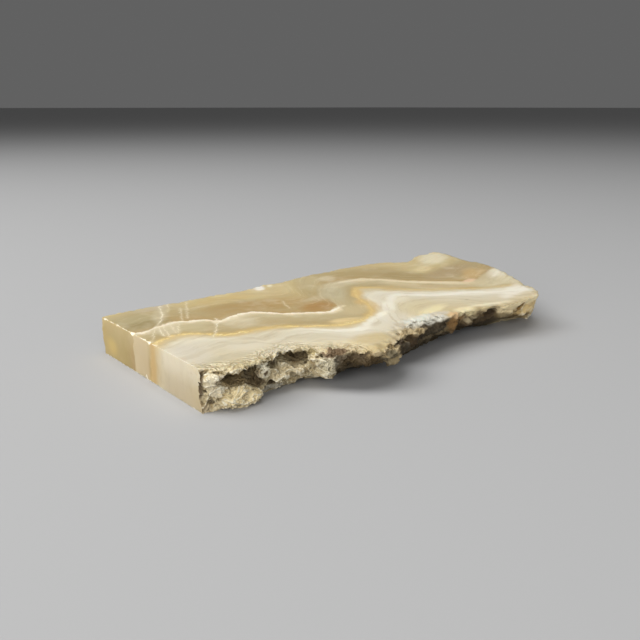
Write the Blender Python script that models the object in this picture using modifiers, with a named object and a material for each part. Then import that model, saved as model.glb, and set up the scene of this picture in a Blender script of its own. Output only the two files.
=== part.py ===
"""A saw-cut slice of banded opal with its natural rind left on.

The stone is a rough lens of opal. Three saw cuts make the slice: the top, the underside and the
left end. The front, right end and back keep the stone's natural surface. The front is the thick
rind, with hollows, knobs and ledges; the back is a gentler weathered break.

Lengths are millimetres times MM. Plan positions are measured from the back corner of the sawn
end: +X along the slice, +Y towards the back, +Z up from the underside. The last step moves the
origin to the middle of the underside.
"""

import math

import bmesh
import bpy
from mathutils import Matrix, Vector, noise

MM = 0.001
NAME = "opal_slice"

THICKNESS = 8.0 * MM  # between the two big saw cuts
SAW_SPARE = 1.6 * MM  # rough stone above and below the slice before it is sawn
ROUGH_CELL = 0.5 * MM  # size of the facets while the rough stone is shaped
ROUGH_TRIANGLES = 25500  # facets kept on the rough stone before the saw cuts
LEVELS = 12  # steps of the rough stone's loft from bottom to top
CURVE_STEPS = 4  # loft points for each outline point
SAW_REACH = 200.0 * MM  # the saw cuts run well past the stone

# The front edge from the sawn end to the nose, as plan points at three heights: the rim on the
# upper cut, the waist half way down, and the foot on the lower cut.
FRONT = [
    # rim            waist            foot
    ((-4.0, -38.2), (-4.0, -38.2), (-4.0, -39.2)),
    ((0.0, -38.9), (0.0, -38.7), (0.0, -39.7)),
    ((2.4, -40.4), (1.6, -40.6), (2.6, -40.2)),
    ((4.8, -41.7), (5.0, -42.4), (6.2, -41.0)),
    ((8.4, -42.6), (8.8, -42.0), (10.4, -40.8)),
    ((11.6, -41.6), (12.6, -40.8), (13.8, -38.7)),
    ((15.4, -40.4), (16.6, -40.6), (17.6, -37.9)),
    ((19.6, -40.2), (20.6, -41.4), (21.6, -38.0)),
    ((22.0, -43.2), (23.6, -43.2), (24.8, -38.6)),
    ((24.0, -46.6), (26.4, -45.0), (27.6, -39.0)),
    ((27.8, -48.0), (29.4, -46.4), (30.4, -38.6)),
    ((29.4, -51.0), (31.6, -47.4), (33.6, -38.2)),
    ((32.4, -51.6), (34.4, -47.4), (37.0, -38.8)),
    ((35.4, -49.8), (37.6, -47.0), (40.4, -39.3)),
    ((39.2, -48.2), (41.4, -46.0), (44.2, -41.0)),
    ((44.0, -47.1), (46.4, -44.8), (48.8, -40.2)),
    ((50.0, -46.1), (52.2, -43.6), (54.2, -38.8)),
    ((56.0, -45.5), (58.0, -42.6), (60.0, -37.8)),
    ((62.0, -45.1), (64.0, -42.0), (66.0, -37.0)),
    ((67.0, -46.2), (69.4, -42.8), (71.4, -37.4)),
    ((72.0, -47.6), (74.4, -43.4), (76.4, -38.2)),
    ((78.0, -48.3), (80.2, -44.4), (82.2, -39.0)),
    ((83.0, -48.2), (84.8, -45.0), (86.8, -39.8)),
    ((87.4, -46.6), (88.2, -44.2), (90.0, -40.4)),
]
# The right end and the back edge, as rim points. Seen from the plan middle, their waist swells and
# their foot draws in.
REAR = [
    (90.6, -43.2), (92.2, -39.8), (95.0, -35.0), (98.6, -29.4), (101.6, -24.0),
    (103.6, -18.2), (103.2, -12.6), (104.6, -6.6), (106.2, 0.2), (105.4, 2.3),
    (101.4, 1.0), (98.2, 1.5), (94.6, 0.0), (91.2, -2.0), (88.0, -2.6),
    (85.2, -0.2), (81.6, 1.8), (75.0, 2.3), (68.0, 2.5), (61.0, 2.2),
    (57.4, 2.6), (52.0, 1.6), (46.6, 0.8), (43.6, 1.6), (40.4, 1.2),
    (36.8, 0.2), (30.0, 0.6), (24.0, 0.9), (18.0, 0.9), (12.0, 1.3),
    (6.0, 1.5), (2.2, 1.2), (0.0, 0.0), (-4.0, -1.4),
]
PLAN_MIDDLE = (52.0, -22.0)
REAR_SWELL = 0.9
REAR_DRAW_IN = 0.7

# Natural hollows in the rind: name, centre, half sizes, and turn about the vertical in degrees.
HOLLOWS = [
    ("great_hollow", (6.1, -42.8, 5.6), (5.2, 5.0, 1.8), 0),
    ("gap_beside_nodule", (9.9, -42.0, 4.9), (1.9, 5.2, 2.3), -8),
    ("second_hollow", (18.0, -42.2, 6.1), (5.9, 4.2, 1.7), -3),
    ("small_pit", (14.8, -40.8, 2.8), (1.9, 2.2, 1.3), 0),
    ("nook_at_the_foot", (0.8, -42.0, 2.5), (1.5, 1.7, 0.8), 20),
    ("recess_by_the_knob", (22.4, -40.2, 0.4), (2.2, 2.8, 1.7), 0),
    ("cave_under_the_ledge", (33.6, -47.4, 1.4), (8.6, 6.2, 2.9), 6),
    ("cleft", (36.2, -49.9, 7.4), (4.6, 0.8, 2.3), 23),
    ("brown_hollow", (43.2, -47.8, 5.2), (2.8, 3.0, 1.9), 10),
    ("dark_recess", (51.6, -46.0, 3.4), (4.6, 2.6, 2.2), 6),
    ("slot_by_the_orange_lump", (57.2, -44.6, 4.4), (0.9, 1.9, 2.6), -20),
    ("right_hollow", (71.0, -45.8, 6.0), (2.7, 2.2, 1.6), 0),
    ("right_dimple", (63.4, -44.8, 6.8), (1.9, 1.3, 0.8), 0),
    ("nose_slot", (80.0, -47.6, 5.4), (0.9, 2.2, 2.6), -12),
    ("foot_scallop_left", (12.8, -39.8, 0.4), (1.5, 1.7, 1.1), 0),
    ("foot_scallop_right", (71.0, -38.6, 0.6), (5.0, 2.6, 1.6), 4),
    ("frosted_scoop", (49.4, -46.8, 10.0), (11.0, 6.0, 3.0), 5),
    ("stained_scoop", (25.0, -46.4, 9.2), (3.2, 2.6, 1.8), -10),
    ("end_scallop", (106.4, -11.6, 4.6), (2.2, 3.4, 5.0), 0),
    ("back_chip", (39.0, 2.6, 8.9), (2.3, 1.7, 1.9), 5),
    ("back_hollow", (66.0, 4.4, 3.0), (6.5, 2.4, 2.4), 0),
    ("back_hollow_left", (22.0, 3.3, 3.8), (7.5, 2.4, 2.8), 0),
]
# What stands out of the rind, in the same terms.
LUMPS = [
    ("lower_dome", (7.4, -39.2, 1.7), (4.8, 3.7, 2.1), 2),
    ("left_wall_top", (1.8, -39.6, 6.0), (1.4, 1.8, 1.1), 0),
    ("left_wall_foot", (2.4, -40.4, 3.9), (1.6, 1.8, 1.1), 10),
    ("nodule", (12.0, -39.4, 5.2), (1.15, 2.2, 1.15), 0),
    ("lens_in_the_hollow", (17.0, -37.9, 4.8), (2.4, 2.2, 1.5), 0),
    ("rib_under_the_hollow", (18.2, -39.2, 3.3), (4.6, 2.1, 0.8), -3),
    ("foot_lump_a", (16.4, -38.2, 1.4), (2.0, 1.8, 1.3), 0),
    ("foot_lump_b", (19.8, -38.1, 1.6), (1.8, 1.9, 1.4), 0),
    ("knob", (24.7, -42.6, 3.1), (2.3, 2.3, 1.7), 0),
    ("porous_mass", (24.0, -42.4, 5.8), (2.9, 3.2, 2.2), 0),
    ("stained_bump", (26.2, -45.2, 6.2), (2.6, 3.0, 1.5), 0),
    ("ledge", (30.4, -47.2, 6.0), (4.0, 3.7, 1.7), 0),
    ("blade_root", (37.9, -47.2, 5.5), (3.6, 2.0, 0.9), 20),
    ("blade", (36.4, -50.2, 6.2), (4.8, 0.8, 1.2), 20),
    ("small_knob", (35.7, -48.8, 4.2), (1.0, 1.5, 1.4), 0),
    ("frosted_cushion", (52.4, -43.6, 6.0), (5.0, 2.2, 1.3), 4),
    ("orange_lump", (60.2, -42.6, 5.2), (1.7, 1.8, 2.0), 0),
    ("cream_lump", (65.6, -42.8, 5.0), (2.4, 1.5, 1.0), 0),
    ("mottled_lump", (76.2, -44.6, 5.8), (2.6, 2.0, 1.9), 0),
    ("nose_lump", (84.8, -43.8, 4.8), (3.3, 2.7, 2.7), 20),
    ("end_lump", (103.0, -18.0, 4.2), (1.6, 3.6, 3.2), 0),
    ("back_lump", (79.0, 1.4, 4.6), (6.0, 1.5, 2.8), 0),
    ("back_lump_left", (47.5, 0.4, 4.6), (5.0, 1.6, 2.8), 0),
]

BALL_SUBDIVISIONS = 4
LUMPINESS = 0.22  # how far a hollow or a lump strays from an ellipsoid
LUMPS_ACROSS = 1.7  # how closely its bumps are set, in half sizes
SEED_STEP = 3.7  # keeps one ellipsoid's bumps unlike the next one's

# Roughness laid over the whole rough stone: size of the relief and how far it moves the surface.
RELIEF = [
    # wavelength, height, seed
    (7.0 * MM, 0.50 * MM, 11.0),
    (3.2 * MM, 0.55 * MM, 23.0),
    (1.6 * MM, 0.42 * MM, 37.0),
]
ROLLING_SHARE = 0.6  # of each size of relief, the part that rolls softly
RIDGED_SHARE = 0.4  # and the part that stands in ridges
ROLLING_STRETCH = 0.9
CALM_BACK = 0.6  # the back and the right end have this share of the rind's relief
CALM_FROM = -30.0  # plan y where the relief begins to calm towards the back
CALM_WIDTH = 12.0
FLAT_COSINE = 0.9999  # a face this square to an axis, within FLAT_SLACK of a cut, is sawn
FLAT_SLACK = 0.002 * MM
CREASE_DEGREES = 50.0  # natural faces that meet more sharply than this stay crisp
COLOUR = (0.66, 0.58, 0.42, 1.0)
ROUGHNESS = 0.42


def clear_scene():
    for obj in list(bpy.data.objects):
        bpy.data.objects.remove(obj)


def collection(name):
    made = bpy.data.collections.new(name)
    bpy.context.scene.collection.children.link(made)
    return made


def closed_curve(points, steps):
    """Points along a closed Catmull-Rom curve through the given plan points."""
    made = []
    count = len(points)
    for i in range(count):
        p0, p1, p2, p3 = (Vector(points[(i + k) % count]) for k in (-1, 0, 1, 2))
        for step in range(steps):
            t = step / steps
            made.append(
                0.5
                * (
                    2 * p1
                    + (p2 - p0) * t
                    + (2 * p0 - 5 * p1 + 4 * p2 - p3) * t * t
                    + (3 * p1 - p0 - 3 * p2 + p3) * t**3
                )
            )
    return made


def outline_at(height):
    """The stone's control outline at a height, from the rim, waist and foot outlines."""
    share = height / THICKNESS  # 0 at the foot and 1 at the rim
    foot_part = 2 * (share - 0.5) * (share - 1)
    waist_part = -4 * share * (share - 1)
    rim_part = 2 * share * (share - 0.5)
    outline = [
        Vector(rim) * rim_part + Vector(waist) * waist_part + Vector(foot) * foot_part
        for rim, waist, foot in FRONT
    ]
    for point in map(Vector, REAR):
        outward = (point - Vector(PLAN_MIDDLE)).normalized()
        swell = REAR_SWELL * waist_part - REAR_DRAW_IN * foot_part
        outline.append(point + outward * swell)
    return outline


def rough_block():
    """The stone before it is sawn: one loft through its outlines, with closed ends."""
    lowest = -SAW_SPARE
    highest = THICKNESS + SAW_SPARE
    mesh = bmesh.new()
    rings = []
    for level in range(LEVELS + 1):
        z = lowest + (highest - lowest) * level / LEVELS
        ring = closed_curve(outline_at(min(max(z, 0.0), THICKNESS)), CURVE_STEPS)
        rings.append([mesh.verts.new((p.x * MM, p.y * MM, z)) for p in ring])
    around = len(rings[0])
    for lower, upper in zip(rings, rings[1:]):
        for i in range(around):
            j = (i + 1) % around
            mesh.faces.new((lower[i], lower[j], upper[j], upper[i]))
    mesh.faces.new(reversed(rings[0]))
    mesh.faces.new(rings[-1])
    bmesh.ops.recalc_face_normals(mesh, faces=mesh.faces)
    return mesh_object("rough_block", mesh)


def mesh_object(name, mesh, where=None):
    data = bpy.data.meshes.new(name)
    mesh.to_mesh(data)
    mesh.free()
    obj = bpy.data.objects.new(name, data)
    (where or bpy.context.scene.collection).objects.link(obj)
    return obj


def add_ellipsoid(mesh, centre, half_sizes, turn, seed):
    """A lumpy ellipsoid, added to a mesh."""
    ball = bmesh.ops.create_icosphere(mesh, subdivisions=BALL_SUBDIVISIONS, radius=1.0)["verts"]
    place = (
        Matrix.Translation(Vector(centre) * MM)
        @ Matrix.Rotation(math.radians(turn), 4, "Z")
        @ Matrix.Diagonal((*(size * MM for size in half_sizes), 1.0))
    )
    for vert in ball:
        lump = noise.noise(vert.co * LUMPS_ACROSS + Vector((seed, 0.0, 0.0)))
        vert.co = place @ (vert.co * (1.0 + LUMPINESS * lump))


def ellipsoids(name, shapes, where=None):
    mesh = bmesh.new()
    for seed, (_, centre, half_sizes, turn) in enumerate(shapes):
        add_ellipsoid(mesh, centre, half_sizes, turn, SEED_STEP * seed)
    return mesh_object(name, mesh, where)


def settle(obj):
    """Gives the object its evaluated mesh and drops its modifiers."""
    graph = bpy.context.evaluated_depsgraph_get()
    data = bpy.data.meshes.new_from_object(obj.evaluated_get(graph))
    obj.modifiers.clear()
    obj.data = data


def refacet(obj, cell):
    """Even facets over the whole object, which also joins shapes that overlap."""
    remesh = obj.modifiers.new("even_facets", "REMESH")
    remesh.mode = "VOXEL"
    remesh.voxel_size = cell
    settle(obj)


def boolean(obj, other, operation):
    step = obj.modifiers.new(operation.lower(), "BOOLEAN")
    step.operation = operation
    step.solver = "EXACT"
    step.object = other
    settle(obj)


def join_lumps(obj, lumps):
    """The lumps' faces are added to the stone's, and even facets make one skin of them."""
    mesh = bmesh.new()
    mesh.from_mesh(obj.data)
    mesh.from_mesh(lumps.data)
    mesh.to_mesh(obj.data)
    mesh.free()
    bpy.data.objects.remove(lumps)


def relief_at(point):
    """How far the natural surface stands out from the smooth form at a point."""
    total = 0.0
    for wavelength, height, seed in RELIEF:
        where = point / wavelength + Vector((seed, seed, seed))
        ridged = 1.0 - 2.0 * abs(noise.noise(where))
        rolling = noise.noise(where * ROLLING_STRETCH)
        total += height * (ROLLING_SHARE * rolling + RIDGED_SHARE * (ridged - 0.5))
    return total


def rind_share(point):
    """1 on the front rind, falling to CALM_BACK on the right end and the back."""
    calm = min(max((point.y / MM - CALM_FROM) / CALM_WIDTH, 0.0), 1.0)
    return 1.0 + (CALM_BACK - 1.0) * calm


def roughen(obj):
    mesh = bmesh.new()
    mesh.from_mesh(obj.data)
    mesh.normal_update()
    moves = [v.normal * relief_at(v.co) * rind_share(v.co) for v in mesh.verts]
    for vert, move in zip(mesh.verts, moves):
        vert.co += move
    mesh.to_mesh(obj.data)
    mesh.free()


def thin_out(obj, triangles):
    """Fewer facets, kept where the surface is most broken."""
    obj.data.calc_loop_triangles()
    decimate = obj.modifiers.new("fewer_facets", "DECIMATE")
    decimate.ratio = triangles / len(obj.data.loop_triangles)
    settle(obj)


def saw_box(where):
    """What the three saw cuts leave: the slab between them, open to the front, right and back."""
    bpy.ops.mesh.primitive_cube_add(size=1.0)
    box = bpy.context.object
    box.name = "saw_box"
    for vert in box.data.vertices:
        x, y, z = vert.co
        vert.co = ((x + 0.5) * SAW_REACH, y * SAW_REACH, (z + 0.5) * THICKNESS)
    for owner in list(box.users_collection):
        owner.objects.unlink(box)
    where.objects.link(box)
    box.hide_render = True
    box.display_type = "WIRE"
    return box


def keep_largest(obj):
    """Drops crumbs that a saw cut leaves loose."""
    mesh = bmesh.new()
    mesh.from_mesh(obj.data)
    left = set(mesh.verts)
    islands = []
    while left:
        todo = [left.pop()]
        island = set(todo)
        while todo:
            for edge in todo.pop().link_edges:
                for vert in edge.verts:
                    if vert in left:
                        left.discard(vert)
                        island.add(vert)
                        todo.append(vert)
        islands.append(island)
    largest = max(islands, key=len)
    crumbs = [v for island in islands if island is not largest for v in island]
    bmesh.ops.delete(mesh, geom=crumbs, context="VERTS")
    mesh.to_mesh(obj.data)
    mesh.free()


def centre_on_underside(obj):
    corners = [Vector(corner) for corner in obj.bound_box]
    lowest = Vector(min(c[i] for c in corners) for i in range(3))
    highest = Vector(max(c[i] for c in corners) for i in range(3))
    middle = (lowest + highest) / 2
    obj.data.transform(Matrix.Translation((-middle.x, -middle.y, -lowest.z)))


def opal_material():
    material = bpy.data.materials.new("banded_opal")
    material.use_nodes = True
    shader = material.node_tree.nodes["Principled BSDF"]
    shader.inputs["Base Color"].default_value = COLOUR
    shader.inputs["Roughness"].default_value = ROUGHNESS
    shader.inputs["Metallic"].default_value = 0.0
    return material


def is_sawn(polygon, sawn_end):
    """Whether a face lies in one of the three saw cuts."""
    if abs(polygon.normal.z) > FLAT_COSINE:
        return min(abs(polygon.center.z), abs(polygon.center.z - THICKNESS)) < FLAT_SLACK
    return polygon.normal.x < -FLAT_COSINE and abs(polygon.center.x - sawn_end) < FLAT_SLACK


def shade(obj):
    """Smooth natural surfaces and flat saw cuts, with a crisp edge between them."""
    obj.data.materials.clear()
    obj.data.materials.append(opal_material())
    obj.data.shade_smooth()
    obj.data.set_sharp_from_angle(angle=math.radians(CREASE_DEGREES))
    sawn_end = min(corner[0] for corner in obj.bound_box)
    for polygon in obj.data.polygons:
        polygon.use_smooth = not is_sawn(polygon, sawn_end)


def build():
    clear_scene()
    part = collection(NAME)
    cutters = collection("cutters")
    slice_ = rough_block()
    hollows = ellipsoids("hollows", HOLLOWS)
    refacet(hollows, ROUGH_CELL)
    boolean(slice_, hollows, "DIFFERENCE")
    bpy.data.objects.remove(hollows)
    join_lumps(slice_, ellipsoids("lumps", LUMPS))
    refacet(slice_, ROUGH_CELL)
    roughen(slice_)
    thin_out(slice_, ROUGH_TRIANGLES)
    boolean(slice_, saw_box(cutters), "INTERSECT")
    keep_largest(slice_)
    centre_on_underside(slice_)
    slice_.name = NAME
    for owner in list(slice_.users_collection):
        owner.objects.unlink(slice_)
    part.objects.link(slice_)
    shade(slice_)


build()
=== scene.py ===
import math

import bmesh
import bpy
import numpy as np
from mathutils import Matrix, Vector, noise
from mathutils.bvhtree import BVHTree
from mathutils.geometry import delaunay_2d_cdt
from mathutils.kdtree import KDTree


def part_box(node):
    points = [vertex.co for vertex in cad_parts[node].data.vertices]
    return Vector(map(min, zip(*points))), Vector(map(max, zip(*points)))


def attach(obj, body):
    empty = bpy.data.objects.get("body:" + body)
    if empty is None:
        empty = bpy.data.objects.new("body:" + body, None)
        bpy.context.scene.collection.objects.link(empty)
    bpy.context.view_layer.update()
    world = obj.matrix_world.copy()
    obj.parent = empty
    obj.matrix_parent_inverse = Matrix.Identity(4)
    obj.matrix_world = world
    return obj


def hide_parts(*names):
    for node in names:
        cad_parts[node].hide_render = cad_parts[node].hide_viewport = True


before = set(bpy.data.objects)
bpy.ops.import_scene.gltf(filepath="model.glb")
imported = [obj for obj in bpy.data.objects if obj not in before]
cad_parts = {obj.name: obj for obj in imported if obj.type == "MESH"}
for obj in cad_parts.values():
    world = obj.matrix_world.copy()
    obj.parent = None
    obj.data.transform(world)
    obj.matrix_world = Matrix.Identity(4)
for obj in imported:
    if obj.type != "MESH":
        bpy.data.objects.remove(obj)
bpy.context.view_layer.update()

# --- The slice -----------------------------------------------------------------------------------
# A slab of hokkaidoite, a banded translucent opal, eight millimetres thick. A diamond saw cut the
# top, the underside and the left end flat; the front, the right end and the back are the stone's
# own skin, a thick knobbly rind at the front and a calmer break elsewhere.
MM = 0.001
SLICE_LOW, SLICE_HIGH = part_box("opal_slice")
BACK_BULGE = 3.65 * MM  # the back edge swells this far behind the sawn end's back corner
END_X = SLICE_LOW.x
CORNER_Y = SLICE_HIGH.y - BACK_BULGE
THICKNESS = (SLICE_HIGH.z - SLICE_LOW.z) / MM
FLAT_SLACK = 0.002 * MM  # a point this near to a saw cut lies in it
WELD = 0.0005 * MM
FINE_FACET = 0.24 * MM
MEDIUM_FACET = 0.34 * MM
COARSE_FACET = 0.42 * MM
SPLITTINGS = 4
FINE_REACH = 52.0  # the near half of the rind ends here, in millimetres from the sawn end
RIND_FRONT = -34.0  # the thick rind begins this far in front of the back corner
WEATHER_SEED = 1
X, Y, Z = range(3)
TOP, UNDERSIDE, END = range(3)


def plan(point):
    """Millimetres from the sawn end, from its back corner and from the underside."""
    return (Vector(point).to_3d() - Vector((END_X, CORNER_Y, 0.0))) / MM


def on_cut(point):
    """Which saw cuts a point lies in: TOP, UNDERSIDE and END."""
    return (
        abs(point.z - SLICE_HIGH.z) < FLAT_SLACK,
        abs(point.z - SLICE_LOW.z) < FLAT_SLACK,
        abs(point.x - END_X) < FLAT_SLACK,
    )


def is_sawn(face):
    """Whether a face lies in a saw cut."""
    return any(map(all, zip(*(on_cut(vert.co) for vert in face.verts))))


def facet_size(edge):
    """Fine facets on the front rind's near half, and coarser ones where it is calm."""
    place = plan((edge.verts[0].co + edge.verts[1].co) / 2)
    if place.y > RIND_FRONT:
        return COARSE_FACET
    return FINE_FACET if place.x < FINE_REACH else MEDIUM_FACET


# The skin starts from the sawn solid's own, cut into finer facets and weathered.
noise.seed_set(WEATHER_SEED)
stone = bmesh.new()
stone.from_mesh(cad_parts["opal_slice"].data)
bmesh.ops.remove_doubles(stone, verts=stone.verts, dist=WELD)
bmesh.ops.delete(stone, geom=[f for f in stone.faces if is_sawn(f)], context="FACES")
for _ in range(SPLITTINGS):
    long_edges = [e for e in stone.edges if e.calc_length() > facet_size(e)]
    bmesh.ops.subdivide_edges(stone, edges=long_edges, cuts=1)
    bmesh.ops.triangulate(stone, faces=[f for f in stone.faces if len(f.verts) > 3])

# What the material needs to know of each place: whether it is rind or a bruised edge, how
# sheltered and how hollow it is, its stains with their painted shade, and how worn it is.
rind_mark = stone.faces.layers.float.new("rind")
bruise_mark = stone.faces.layers.float.new("bruise")
shelter_mark = stone.verts.layers.float.new("shelter")
hollow_mark = stone.verts.layers.float.new("hollow")
stain_and_shade_mark = stone.verts.layers.float_color.new("stain_and_shade")
brim_mark = stone.verts.layers.float.new("brim")
stone.verts.ensure_lookup_table()
stone.verts.index_update()
for face in stone.faces:
    face[rind_mark] = 1.0

places = np.array([v.co for v in stone.verts])
edges = np.array([[v.index for v in e.verts] for e in stone.edges])
cuts = np.array([on_cut(v.co) for v in stone.verts])
rim = cuts.any(axis=1)
corner = cuts.sum(axis=1) > 1
# A rim point only feels its neighbours along the same cut, so the cut's edge stays on the cut.
shares_cut = (cuts[edges[:, 0]] & cuts[edges[:, 1]]).any(axis=1)


def neighbour_mean(values):
    """Each point's mean over its neighbours; a rim point's over its neighbours on the rim."""
    total = np.zeros_like(values)
    count = np.zeros(len(values))
    for here, there in ((0, 1), (1, 0)):
        use = ~rim[edges[:, here]] | shares_cut
        for axis in range(values.shape[1]):
            total[:, axis] += np.bincount(
                edges[use, here], values[edges[use, there], axis], len(values)
            )
        count += np.bincount(edges[use, here], minlength=len(values))
    return total / np.maximum(count, 1)[:, None]


ROUNDINGS = 6
PULL, PUSH = 0.5, 0.52


def worn(values):
    """Rounds facets off without shrinking what they make."""
    for _ in range(ROUNDINGS):
        for step in (PULL, -PUSH):
            moved = values + step * (neighbour_mean(values) - values)
            moved[corner] = values[corner]
            values = moved
    return values


def outward():
    """Each point's outward direction."""
    for vert, place in zip(stone.verts, places):
        vert.co = place
    stone.normal_update()
    return np.array([v.normal for v in stone.verts])


places = worn(places)

# What stands out of the rind or sinks into it at a size that the sawn solid doesn't hold:
# the middle in plan millimetres, how wide it is, and how far it stands out.
SMALL_FORMS = {
    "great_hollow_left": ((4.2, -41.6, 6.2), 1.4, -0.8),
    "under_the_nodule": ((11.2, -40.6, 3.1), 1.5, -0.7),
    "pocket_by_the_fan": ((14.6, -39.7, 2.3), 1.4, -0.6),
    "second_hollow": ((20.6, -39.4, 6.0), 2.0, -0.6),
    "slot_by_the_nose": ((80.3, -46.6, 5.8), 1.0, -0.7),
    "dark_pocket": ((72.2, -44.3, 5.5), 1.8, -0.7),
    "nodule_crater": ((12.1, -41.5, 5.0), 0.85, -0.9),
    "nodule_rim": ((12.1, -41.2, 5.2), 1.9, 0.7),
    "pit_in_the_fan": ((3.6, -42.6, 2.2), 0.8, -0.8),
    "pit_beside_it": ((5.2, -43.0, 1.2), 0.6, -0.5),
    "wall_bump_top": ((1.9, -41.2, 6.6), 1.0, 0.45),
    "wall_bump_low": ((2.6, -41.8, 4.6), 1.1, 0.45),
    "wall_gap": ((2.2, -41.6, 5.6), 0.6, -0.7),
    "end_groove_top": ((0.3, -39.4, 6.6), 0.6, -0.5),
    "end_groove": ((0.3, -39.2, 5.3), 0.6, -0.7),
    "end_groove_low": ((0.4, -39.4, 4.0), 0.6, -0.6),
    "knob_cleft": ((24.2, -45.0, 3.8), 0.7, -0.6),
    "porous_a": ((22.4, -44.2, 7.0), 0.6, -0.6),
    "porous_b": ((22.8, -45.0, 5.6), 0.7, -0.7),
    "porous_c": ((23.8, -45.6, 6.8), 0.6, -0.5),
    "porous_d": ((21.0, -42.6, 5.4), 0.7, -0.6),
    "hole_by_the_step": ((40.0, -46.4, 7.8), 0.6, -0.7),
    "knuckle_on_the_knob": ((35.8, -50.0, 4.6), 0.7, 0.4),
}
# The porous places: the middle in plan millimetres, and how far they reach.
POROUS_PLACES = (((22.0, -44.4, 6.4), 2.8), ((38.0, -47.6, 7.8), 2.2), ((3.6, -42.4, 3.2), 1.4))


def porosity(place):
    """1 where the rind is porous and 0 where it is sound."""
    share = 0.0
    for middle, reach in POROUS_PLACES:
        share = max(share, 1.0 - (place - Vector(middle)).length / reach)
    return min(share * 2.0, 1.0)


CREST_SHARPNESS = 2.6


def folds(place, spaces, shift=0.0):
    """Leafy folds: 1 along sharp winding crests, falling away hollow on both sides."""
    x, y, z = (part / space for part, space in zip(place, spaces))
    off_crest = CREST_SHARPNESS * abs(noise.noise(Vector((x, y, z + shift))))
    return (1.0 - min(1.0, off_crest)) ** 2


# How far the lumps, folds and grains stand out and how deep the pores are, and how far apart each
# kind comes, in millimetres. A fold's spaces run along the slice, across it and up it.
LUMP_RISE, LUMP_SPACE = 0.24, 2.4
BROAD_FOLD_RISE, BROAD_FOLD_SPACES = 0.42, (2.6, 1.8, 1.5)
FINE_FOLD_RISE, FINE_FOLD_SPACES = 0.26, (1.3, 0.9, 0.7)
GRAIN_RISE, GRAIN_SPACE = 0.06, 0.3
PORE_DEPTH, PORE_SPACE = 0.5, 1.1
PORE_RADIUS = 0.42  # as a share of the space between two pores
STRAY, STRAY_SPACE = 1.1, 2.6  # lumps, folds and pores wander this far off their places
WEATHERED_AWAY = 0.28  # the valleys between the folds lie this deep


def relief(place):
    """How far weathering has left the surface proud of the stone, in millimetres."""
    strayed = place + noise.noise_vector(place / STRAY_SPACE) * STRAY
    lumps = LUMP_RISE * noise.noise(strayed / LUMP_SPACE)
    broad = BROAD_FOLD_RISE * folds(strayed, BROAD_FOLD_SPACES)
    fine = FINE_FOLD_RISE * folds(strayed, FINE_FOLD_SPACES, shift=9.0)
    grain = GRAIN_RISE * noise.noise(place / GRAIN_SPACE)
    nearest_pore = noise.voronoi(strayed / PORE_SPACE)[0][0]
    hole = max(0.0, 1.0 - nearest_pore / PORE_RADIUS) ** 0.5
    return lumps + broad + fine + grain - PORE_DEPTH * hole * porosity(place) - WEATHERED_AWAY


CALM_STEP = 8.0  # the rind turns calm over this many millimetres
SMOOTH_END = 70.0  # beyond this it is smooth, in millimetres from the sawn end
# How much of the roughness is gone from the back, the right end and the corner between them.
BACK_CALM, RIGHT_CALM, CORNER_CALM = 0.5, 0.65, 0.5


def roughness_share(place):
    """1 on the thick rind, less on the calm back and on the smooth right end."""
    back = min(max((place.y - RIND_FRONT) / CALM_STEP, 0.0), 1.0)
    right = min(max((place.x - SMOOTH_END) / CALM_STEP, 0.0), 1.0)
    right_calm = RIGHT_CALM * right * (1.0 - back)
    return (1.0 - BACK_CALM * back) * (1.0 - right_calm) * (1.0 - CORNER_CALM * right * back)


normals = outward()
heights = np.zeros(len(places))
for i, point in enumerate(places):
    place = plan(point)
    height = relief(place) * roughness_share(place)
    for middle, radius, rise in SMALL_FORMS.values():
        off = (place - Vector(middle)).length / radius
        if off < 1.0:
            height += rise * (1.0 - off * off) ** 2
    heights[i] = height * MM
moves = normals * heights[:, None]
# The skin never crosses a cut: near one, it may only use part of the room that is left.
ROOM_USED = 0.7
room_up = SLICE_HIGH.z - places[:, Z]
room_down = places[:, Z] - SLICE_LOW.z
room_end = places[:, X] - END_X
moves[:, Z] = np.clip(moves[:, Z], -ROOM_USED * room_down, ROOM_USED * room_up)
moves[:, X] = np.maximum(moves[:, X], -ROOM_USED * room_end)
moves[cuts[:, TOP] | cuts[:, UNDERSIDE], Z] = 0.0
moves[cuts[:, END], X] = 0.0
moves[corner] = 0.0
places = places + moves
normals = outward()

# How deep each point lies below the skin around it, which is where dirt and stain stay and where
# the material paints shade.
LEVELLINGS = 14
LEVELLING_STEP = 0.6
levelled = places.copy()
for _ in range(LEVELLINGS):
    levelled = levelled + LEVELLING_STEP * (neighbour_mean(levelled) - levelled)
hollow = ((levelled - places) * normals).sum(axis=1) / MM

# How sheltered each point is: the share of short looks outward that meet stone again. The
# material paints shade where it is high.
SHELTER_REACH = 4.0 * MM
LOOK_GAP = 0.05 * MM
LOOKS = 20
tree = BVHTree.FromBMesh(stone)
looks = []
for i in range(LOOKS):
    up = (i + 0.5) / LOOKS
    turn = i * math.pi * (3.0 - math.sqrt(5.0))
    flat = math.sqrt(1.0 - up * up)
    looks.append((flat * math.cos(turn), flat * math.sin(turn), up))
shelter = np.zeros(len(places))
for i, (point, normal) in enumerate(zip(places, normals)):
    away = Vector(normal)
    side = away.orthogonal().normalized()
    across = away.cross(side)
    start = Vector(point) + away * LOOK_GAP
    for a, b, c in looks:
        way = side * a + across * b + away * c
        if tree.ray_cast(start, way, SHELTER_REACH)[0] is not None:
            shelter[i] += 1.0 / LOOKS
for vert, deep, hidden in zip(stone.verts, hollow, shelter):
    vert[hollow_mark] = deep
    vert[shelter_mark] = hidden
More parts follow.
